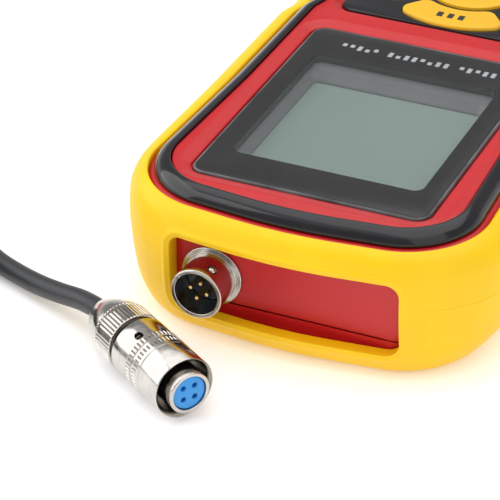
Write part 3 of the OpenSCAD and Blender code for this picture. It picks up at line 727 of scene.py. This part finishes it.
def make_display():
    """Printed lens border, clear lens, sloped frame and the display's glass."""
    rim = [(26.4, 0.0), (27.5, 0.0), (27.7, 0.06), (27.82, 0.2)]
    rim_inside = [(27.82, 0.4), (27.75, 0.48), (26.4, 0.48)]
    # The lens edge gets the lighter, patchy grey: painted glint along the rim.
    hollow_plate("lens_rim", "rim_painted_glint", lens_outline, lens_outline, rim, rim_inside)
    edge = [(26.4, 0.5), (27.72, 0.5), (27.83, 0.56), (27.86, 0.7)]
    well = [(27.86, -0.1), (27.84, 0.02), (27.7, 0.06), (26.4, 0.06)]
    hollow_plate("lens_border", "lens_print", lens_outline, view_outline, edge, well,
                 replaces=["lens_print"])
    glass = [(26.45, 0.1), (27.8, 0.1), (27.9, 0.3), (27.92, 0.6)]
    stack("lens_pane", "lens_clear", view_outline, glass, replaces=["display_lens"])

    def outer(inset):
        half, near, far = LENS_VIEW
        return rounded_box(half + 0.8, near - 0.8, far + 0.8, 1.4, inset)

    def sight(inset):
        half, near, far = LCD
        return rounded_box(half, near, far, 1.0, inset)

    slope = [(26.2, -1.6), (26.05, -1.5), (25.0, -0.35), (24.7, -0.05), (24.5, 0.0), (24.42, 0.0),
             (24.42, -0.3), (19.8, -0.3)]
    hollow_plate("display_frame", "frame_grey", outer, sight,
                 [(19.8, 0), (26.0, 0), (26.2, 0.1)], slope, replaces=["lcd_frame"])
    half, near, far = LCD

    def glass_outline(inset):
        return rounded_box(half + 0.25, near - 0.25, far + 0.25, 0.4, inset)

    stack("display_glass", "lcd_glass", glass_outline,
          [(22.5, 0), (24.3, 0), (LCD_Z, 0.1)], replaces=["lcd_panel"])


def bar(b, x, y, width, height, z, thick=0.06):
    """A small raised printed bar."""
    half = width / 2
    outline = [(px + x, py + y) for px, py in rounded_box(half, -height / 2, height / 2, 0.12)]
    rings = [b.level(outline, z - 0.05), b.level(outline, z + thick)]
    b.skin(rings)
    b.fill(rings[0])
    b.fill(rings[1])


def make_marks():
    """A row of plain bars on the lens, where such meters carry a line of print."""
    b = Build()
    groups = (5, 8, 5)
    pitch, between, y = 1.62, 1.5, -17.2
    width = pitch * (sum(groups) - 1) + between * (len(groups) - 1)
    x = -width / 2 + 0.4
    pick = random.Random(4)
    for group in groups:
        for _ in range(group):
            height = pick.choice((1.1, 1.8, 1.8))
            bar(b, x, y + (1.8 - height) / 2 * pick.choice((-1, 1)), 0.85, height, 27.86)
            x += pitch
        x += between
    b.piece("lens_marks", "mark_grey")


# ---------------------------------------------------------------- keys

RING_R, RING_IN_R, KEY_ROUND, KEY_SPREAD = 17.9, 10.6, 2.2, math.radians(39)
MID_KEY_R = 9.1
KEY_LOW_Z = 24.75
KEY_HIGH_Z = 28.6


def arc(cx, cy, r, start, stop, steps=8):
    angles = [start + (stop - start) * k / steps for k in range(steps + 1)]
    return [(cx + r * math.cos(t), cy + r * math.sin(t)) for t in angles]


def ring_key_outline(turn, inset=0.0):
    """A stretch of a ring with round corners, about the middle of the keys."""
    big, small, q = RING_R - inset, RING_IN_R + inset, KEY_ROUND - inset
    far_c, near_c = RING_R - KEY_ROUND, RING_IN_R + KEY_ROUND
    far_t = KEY_SPREAD - math.asin(KEY_ROUND / far_c)
    near_t = KEY_SPREAD - math.asin(KEY_ROUND / near_c)
    quarter = math.pi / 2
    line = arc(0, 0, big, -far_t, far_t, 14)
    line += arc(far_c * math.cos(far_t), far_c * math.sin(far_t), q, far_t, KEY_SPREAD + quarter)
    line += arc(near_c * math.cos(near_t), near_c * math.sin(near_t), q,
                KEY_SPREAD + quarter, near_t + 2 * quarter)
    line += arc(0, 0, small, near_t, -near_t, 10)
    line += arc(near_c * math.cos(near_t), -near_c * math.sin(near_t), q,
                -near_t + 2 * quarter, -KEY_SPREAD + 3 * quarter)
    line += arc(far_c * math.cos(far_t), -far_c * math.sin(far_t), q,
                -KEY_SPREAD - quarter, -far_t)
    c, s = math.cos(turn), math.sin(turn)
    return [(x * c - y * s, KEYS_Y + x * s + y * c) for x, y in line]


def circle(r, steps=96):
    return arc(0, KEYS_Y, r, 0, 2 * math.pi * (steps - 1) / steps, steps - 1)


KEY_EDGE = [(KEY_LOW_Z, 0.15), (KEY_LOW_Z + 0.1, 0.0), (27.9, 0.0), (28.25, 0.06), (28.48, 0.24),
            (28.57, 0.5), (KEY_HIGH_Z, 0.95)]


def make_keys():
    """The five keys and the black panel that they stand in."""
    for name, turn in (("right", 0), ("far", 90), ("left", 180), ("set", 270)):
        angle = math.radians(turn)
        stack(f"{name}_cap", "key_yellow", lambda inset: ring_key_outline(angle, inset), KEY_EDGE,
              body=f"{name}_key", replaces=[f"{name}_button"])
    dish = [(KEY_LOW_Z, 0.15), (KEY_LOW_Z + 0.1, 0), (27.9, 0.0), (28.3, 0.08), (28.52, 0.35),
            (28.58, 0.9), (28.5, 2.5), (28.42, 5), (28.4, 7.5)]
    stack("power_cap", "key_yellow", lambda inset: circle(MID_KEY_R - inset), dish,
          body="power_key", replaces=["power_button"])

    b = Build()
    outside = [
        b.level(rounded_box(*PANEL, 3.0, inset), z)
        for z, inset in [(POCKET_Z + 0.05, 0), (27.6, 0), (27.8, 0.08), (LENS_Z, 0.3)]]
    wells = [
        [b.level(outline, z) for z in (LENS_Z, POCKET_Z + 0.05)]
        for outline in [circle(MID_KEY_R + 0.25)]
        + [ring_key_outline(math.radians(t), -0.25) for t in (0, 90, 180, 270)]]
    b.skin(outside)
    for well in wells:
        b.skin(well)
    b.fill(outside[-1], *[well[0] for well in wells])
    b.fill(outside[0], *[well[1] for well in wells])
    b.piece("key_plate", "black_gloss", replaces=["keypad_panel"])


def ring_mark(name, centre, r, width, z, body, gap=0.0):
    """A printed ring, open at its far side by gap radians."""
    b = Build()
    count = 28
    spread = 2 * math.pi - gap
    rings = []
    for k in range(count + 1):
        t = math.pi / 2 + gap / 2 + spread * k / count
        c, s = math.cos(t), math.sin(t)
        rings.append(b.ring([
            (centre[0] + rr * c, centre[1] + rr * s, zz)
            for rr, zz in ((r, z - 0.05), (r + width, z - 0.05), (r + width, z + 0.03), (r, z + 0.03))
        ]))
    b.skin(rings, loop=not gap)
    if gap:
        b.fill(rings[0])
        b.fill(rings[-1])
    b.piece(name, "mark_black", body=body)


def make_key_marks():
    """Plain signs on the keys: a power ring with its line, arrows, a lamp ring and three bars."""
    ring_mark("power_ring", (0, KEYS_Y), 2.6, 0.65, 28.42, "power_key", gap=1.1)
    b = Build()
    bar(b, 0, KEYS_Y + 2.6, 0.65, 2.9, 28.42, 0.03)
    b.piece("power_line", "mark_black", body="power_key")
    for name, turn in (("right", 0), ("left", math.pi)):
        b = Build()
        c, s = math.cos(turn), math.sin(turn)
        tip = [(15.4, 0), (13.4, 1.5), (13.4, -1.5)]
        shape = [(x * c - y * s, KEYS_Y + x * s + y * c) for x, y in tip]
        rings = [b.level(shape, KEY_HIGH_Z - 0.05), b.level(shape, KEY_HIGH_Z + 0.03)]
        b.skin(rings)
        b.fill(rings[0])
        b.fill(rings[1])
        b.piece(f"{name}_arrow", "mark_black", body=f"{name}_key")
    ring_mark("far_ring", (0, KEYS_Y + 14.2), 1.1, 0.4, KEY_HIGH_Z, "far_key")
    b = Build()
    for x in (-2.2, 0, 2.2):
        bar(b, x, KEYS_Y - 14.2, 1.2, 1.9, KEY_HIGH_Z, 0.03)
    b.piece("set_bars", "mark_black", body="set_key")


# ---------------------------------------------------------------- socket

SOCKET_AXIS = (0, 1, 0)
RIM_Y = -88.0


def make_socket():
    """Nickel shell with its flange and ball, dark insulator and four gilt pins."""
    profile = fillet([
        (4.15, RIM_Y, 0.2), (4.95, RIM_Y, 0.28), (4.95, RIM_Y + 1.15, 0.15),
        (4.78, RIM_Y + 1.3, 0.08), (4.78, END_FLAT_Y - 0.75, 0.15), (5.9, END_FLAT_Y - 0.75, 0.2),
        (5.9, END_FLAT_Y + 0.02, 0.1), (4.5, END_FLAT_Y + 0.02, 0), (4.5, -74, 0.2),
        (3.6, -74, 0.1), (3.6, -79, 0.1), (4.15, -79, 0.1)], step=22)
    shell = turned("socket_barrel", "nickel", profile, SOCKET, SOCKET_AXIS, replaces=["socket_shell"])
    ball_turn = math.radians(27)
    out = Vector((math.sin(ball_turn), 0, math.cos(ball_turn)))
    ball = Vector((SOCKET.x, -85.3, SOCKET.z))
    hole = rod_cutter(1.02, 3.6, 8, ball, out)
    notch_turn = math.radians(-52)
    notch_out = Vector((math.sin(notch_turn), 0, math.cos(notch_turn)))
    notch = rod_cutter(0.5, 3.9, 4.55, Vector((SOCKET.x, RIM_Y + 0.2, SOCKET.z)), notch_out)
    cut(shell, [hole, notch])

    insert = fillet([
        (0, -82.6, 0), (4.1, -82.6, 0.2), (4.1, -79.3, 0), (3.4, -79.3, 0), (3.4, -73.8, 0.1),
        (0, -73.8, 0)], step=30)
    base = turned("socket_insert", "insulator_dark", [p for p in insert if p[0] >= 0], SOCKET,
                  SOCKET_AXIS, 64, closed=False, replaces=["socket_insulator"])
    key = rod_cutter(0.6, -84, -81.6, SOCKET + Vector((-2.9, 0, 1.25)), SOCKET_AXIS)
    cut(base, [key])

    b = Build()
    for k in range(4):
        t = math.radians(76 + 90 * k)
        place = SOCKET + Vector((1.62 * math.cos(t), 0, 1.62 * math.sin(t)))
        tip = smooth_line([(0, -87.0), (0.2, -86.96), (0.36, -86.75), (0.42, -86.4)], 3)
        lathe(b, [*tip, (0.42, -71.4), (0, -71.4)], place, SOCKET_AXIS, 20, closed=False)
    b.piece("socket_contacts", "gold", replaces=["socket_pins"])


# ---------------------------------------------------------------- plug

PLUG_AXIS = (math.cos(PLUG_TURN), math.sin(PLUG_TURN), 0)
FLUTE_COUNT = 50
TOOTH_COUNT = 46
SLEEVE_BANDS = ((-8.3, -7.0), (-10.4, -9.1))
SIDE_HOLE = -11.45
SIDE_HOLE_TURN = 23.6


def teeth(angle, count, cut_share):
    """1 on the teeth round a turned piece and 0 in the narrow cuts between them."""
    phase = (angle * count / (2 * math.pi)) % 1.0
    return min(1.0, abs(phase - 0.5) / (0.5 * cut_share))


def inside(s, low, high, ease):
    """1 between low and high, falling to 0 over ease at each end."""
    return max(0.0, min(1.0, (s - low) / ease, (high - s) / ease))


def sleeve_radius(r, s, angle):
    if r < 5.6:
        return r
    depth = sum(inside(s, low, high, 0.12) for low, high in SLEEVE_BANDS)
    return r - 0.3 * depth * (1 - teeth(angle, TOOTH_COUNT, 0.5))


def nut_radius(r, s, angle):
    if r < 4.7 or s > -16.8:
        return r
    return r - 0.34 * inside(s, -21.9, -16.7, 0.3) * (1 - teeth(angle, FLUTE_COUNT, 0.5))


def even(r, start, stop, count):
    """Points along a straight length of a turned profile."""
    return [(r, start + (stop - start) * k / count) for k in range(count + 1)]


def make_plug():
    """Coupling sleeve, inner barrel, blue insert, fluted nut and what lies inside them."""
    profile = [
        (5.05, -0.9), (5.1, -0.7), (5.6, -0.08), (5.7, 0.0), (5.79, -0.05), (5.84, -0.16),
        (5.84, -6.0), (5.74, -6.1), (5.74, -6.2), *even(5.86, -6.3, -8.7, 24), (5.68, -8.8),
        (5.68, -8.95), *even(5.86, -9.02, -10.5, 15), (5.76, -10.6), *even(5.76, -10.8, -15.2, 3),
        (5.7, -15.4), (5.55, -15.45), (5.2, -15.45), (5.2, -9.2), (4.62, -9.2), (4.62, -7.2),
        (5.05, -7.2)]
    sleeve = turned("coupling_sleeve", "nickel", profile, PLUG, PLUG_AXIS, 368, sleeve_radius,
                    body="sleeve", replaces=["plug_sleeve"], sharp=42)
    first, second, axis = frame_of(PLUG_AXIS)
    turn = math.radians(SIDE_HOLE_TURN)
    out = first * math.cos(turn) + second * math.sin(turn)

    def oval(r, s, angle):
        return r / math.hypot(math.cos(angle) / 0.8, math.sin(angle) / 1.08)

    cut(sleeve, [cutter([(0, 4.7), (1, 4.7), (1, 8), (0, 8)], PLUG + axis * SIDE_HOLE, out, 40, oval)])
    # A dark cylinder just under the sleeve's knurl cuts and groove: painted shade that shows through
    # them.
    groove_shade = [(5.5, -10.35), (5.7, -10.35), (5.7, -7.05), (5.5, -7.05)]
    turned("sleeve_groove_shade", "painted_shade_metal", groove_shade, PLUG, PLUG_AXIS, 96, body="sleeve")

    nose = fillet([
        (3.3, 1.9, 0.12), (3.98, 1.9, 0.22), (4.02, -7.1, 0), (4.55, -7.1, 0.1), (4.55, -9.4, 0.1),
        (4.2, -9.5, 0), (4.2, -22, 0), (3.3, -22, 0)], step=22)
    turned("plug_barrel", "nickel", nose, PLUG, PLUG_AXIS, 128, replaces=["plug_body"])

    face_s = 1.62
    insert = [(0, face_s), (2.95, face_s), (3.12, face_s - 0.06), (3.2, face_s - 0.2),
              (3.27, face_s - 0.4), (3.27, -15), (0, -15)]
    blue = turned("plug_insert", "insulator_blue", insert, PLUG, PLUG_AXIS, 96, closed=False,
                  replaces=["plug_insulator"])
    holes = []
    contacts = Build()
    for k in range(4):
        t = math.radians(45 + 90 * k)
        place = PLUG + (first * math.cos(t) + second * math.sin(t)) * 1.62
        holes.append(cutter([(0, -6), (0.5, -6), (0.5, face_s - 0.12), (0.62, face_s + 0.01),
                             (0.62, 3), (0, 3)], place, PLUG_AXIS, 24))
        tube = [(0, -17), (0.46, -17), (0.46, -0.4), (0.36, -0.4), (0.36, -5), (0, -5)]
        lathe(contacts, tube, place, PLUG_AXIS, 20, closed=False)
    cut(blue, holes)
    contacts.piece("plug_tubes", "gold", replaces=["plug_contacts"])

    dome = smooth_line([(5.45, -21.9), (5.28, -22.8), (4.8, -24.5), (4.0, -26.4), (3.25, -27.8),
                        (2.95, -28.2), (2.7, -28.3)], 4)
    nut = [(4.25, -16.55), (5.35, -16.55), (5.6, -16.65), (5.68, -16.8), *even(5.68, -16.9, -17.3, 2),
           *even(5.66, -17.6, -21.2, 6), *even(5.55, -21.4, -21.8, 2), *dome,
           (2.25, -28.3), (2.15, -28.1), (2.15, -22.8), (4.25, -22.8)]
    turned("back_nut", "nickel", nut, PLUG, PLUG_AXIS, 400, nut_radius, replaces=["plug_nut"])
    # A dark cylinder just under the nut's flutes: painted shade in their cuts.
    groove_shade = [(5.2, -21.5), (5.44, -21.5), (5.46, -16.95), (5.2, -16.95)]
    turned("nut_groove_shade", "painted_shade_metal", groove_shade, PLUG, PLUG_AXIS, 96)


# ---------------------------------------------------------------- probe

TILT = math.asin((PROBE.z - 3) / PROBE_LEN)
PROBE_AXIS = (0, math.cos(TILT), -math.sin(TILT))


def make_probe():
    """Strain relief and end cap. The handle, rod, ring and tip are the CAD's own."""
    ribbed = [(0, -20), (2.9, -20), (3.15, -19.8), (3.3, -19.2)]
    for k in range(5):
        s = -18.4 + 3.1 * k
        r = 3.3 + 0.34 * (k + 1)
        ribbed += [(r, s), (r + 0.12, s + 0.3), (r + 0.12, s + 1.5), (r, s + 1.8), (r - 0.75, s + 1.95),
                   (r - 0.75, s + 2.95)]
    ribbed += [(5.4, -2.6), (6.3, -2.3), (6.5, -1.9), (6.5, -0.05), (0, -0.05)]
    turned("relief_boot", "dark_rubber", ribbed, PROBE, PROBE_AXIS, 48, closed=False,
           replaces=["probe_relief"], sharp=50)
    cap = [(0, 0), *smooth_line([(7.4, 0), (8.5, 0.25), (9.1, 0.9), (9.28, 2.0)], 4), (9.28, 5.6),
           (9.1, 5.95), (0, 5.95)]
    turned("end_cap", "dark_rubber", cap, PROBE, PROBE_AXIS, 96, closed=False, replaces=["probe_cap"])


def make_tie():
    """A soft strap round the coil's section."""
    first = math.radians(-60)
    out = Vector((math.cos(first), math.sin(first), 0))
    along = Vector((-math.sin(first), math.cos(first), 0))
    b = Build()
    section = [(15.7, 0.05), (15.7, 7.7), (16.2, 8.35), (31.8, 8.35), (32.3, 7.7), (32.3, 0.05)]
    outer = [(15.35, 0.05), (15.35, 7.9), (16.05, 8.65), (31.95, 8.65), (32.65, 7.9), (32.65, 0.05)]
    rings = []
    for side in (-2.5, -2.3, 2.3, 2.5):
        trim = 0.1 if abs(side) > 2.4 else 0.0
        loop = [(r, z) for r, z in section] + [
            (r + (trim if r < 24 else -trim), z - trim * (z > 1)) for r, z in outer[::-1]]
        centre = COIL + along * side
        rings.append(b.ring([tuple(centre + out * r + Vector((0, 0, z))) for r, z in loop]))
    b.skin(rings)
    b.fill(rings[0])
    b.fill(rings[-1])
    b.piece("coil_strap", "dark_rubber", replaces=["cord_tie"])


# ---------------------------------------------------------------- everything


def soften(name, width):
    """Rounds the edges of a CAD node that is shown."""
    obj = nodes[name]
    flat = obj.modifiers.new("merge", "DECIMATE")
    flat.decimate_type = "DISSOLVE"
    flat.angle_limit = math.radians(1)
    edge = obj.modifiers.new("edge", "BEVEL")
    edge.width = width * MM
    edge.segments = 2
    edge.limit_method = "ANGLE"
    edge.angle_limit = math.radians(35)
    edge.harden_normals = True


def dress_cad():
    """Materials for the CAD nodes that are shown as they are."""
    slots = {s["node"]: s["material_slot"] for s in frame["record"]["subparts"]}
    for name, obj in nodes.items():
        obj.data.materials.clear()
        obj.data.materials.append(MATERIALS[slots[name]])
        obj.data.shade_smooth()
        obj.data.set_sharp_from_angle(angle=math.radians(30))
    # The spring gets the dark metal: painted shade inside the sleeve's side hole.
    nodes["plug_spring"].data.materials[0] = MATERIALS["painted_shade_metal"]
    for name in ("rear_shell", "battery_door"):
        soften(name, 0.2)


def make_light(name, place, aim, size, power):
    """A soft box of the given size at place, turned to face aim."""
    data = bpy.data.lights.new(name, "AREA")
    data.shape = "RECTANGLE"
    data.size, data.size_y = size[0] * MM, size[1] * MM
    data.energy = power
    obj = new_object(name, data)
    obj.location = Vector(place) * MM
    obj.rotation_euler = (Vector(aim) - Vector(place)).to_track_quat("-Z", "Y").to_euler()


# (height of the direction, brightness) of the room: pale low down, darker walls, bright above
ROOM = [(0.0, 0.95), (0.12, 0.9), (0.22, 0.38), (0.6, 0.36), (0.8, 0.95), (1.0, 1.0)]


def make_stage():
    """A pale floor, a bright room and soft boxes."""
    b = Build()
    reach = 6000
    b.faces.append(b.level([(-reach, -reach), (reach, -reach), (reach, reach), (-reach, reach)], -0.05))
    floor = new_object("floor", b.mesh("floor"))
    floor.data.materials.append(material(
        "floor", (0.93, 0.93, 0.93), 0.6, Emission_Color=(1, 1, 1, 1), Emission_Strength=0.25))
    world = bpy.data.worlds.new("room")
    world.use_nodes = True
    background = world.node_tree.nodes["Background"]
    height = add(world, "ShaderNodeSeparateXYZ")
    link(world, add(world, "ShaderNodeTexCoord").outputs["Generated"], height.inputs[0])
    sky = ramp(world, height.outputs["Z"], *[(z, (v, v, v)) for z, v in ROOM])
    link(world, sky, background.inputs["Color"])
    background.inputs["Strength"].default_value = 0.9
    bpy.context.scene.world = world
    make_light("top", (60, 60, 620), (0, -30, 0), (1000, 900), 2.4)
    make_light("left", (-620, -250, 380), (0, -60, 0), (900, 700), 3.4)
    make_light("right", (560, -420, 420), (0, -60, 10), (600, 600), 0.8)
    bpy.context.scene.view_settings.view_transform = "Standard"


make_camera()
make_boot()
make_front_case()
make_bezel()
make_display()
make_marks()
make_keys()
make_key_marks()
make_socket()
make_plug()
make_probe()
make_tie()
dress_cad()
make_stage()

cord, cord_length = make_cord()
SCENE_PIECES_ON_CORD = (
    "sleeve_groove_shade", "nut_groove_shade", "coupling_sleeve", "plug_barrel", "plug_insert", "plug_tubes",
    "back_nut", "relief_boot", "end_cap", "coil_strap")
CAD_PIECES_ON_CORD = (
    "plug_clamp", "plug_spring", "probe_handle", "probe_rod", "probe_insulator", "probe_tip")
on_cord = [bpy.data.objects[name] for name in SCENE_PIECES_ON_CORD]
on_cord += [nodes[name] for name in CAD_PIECES_ON_CORD]
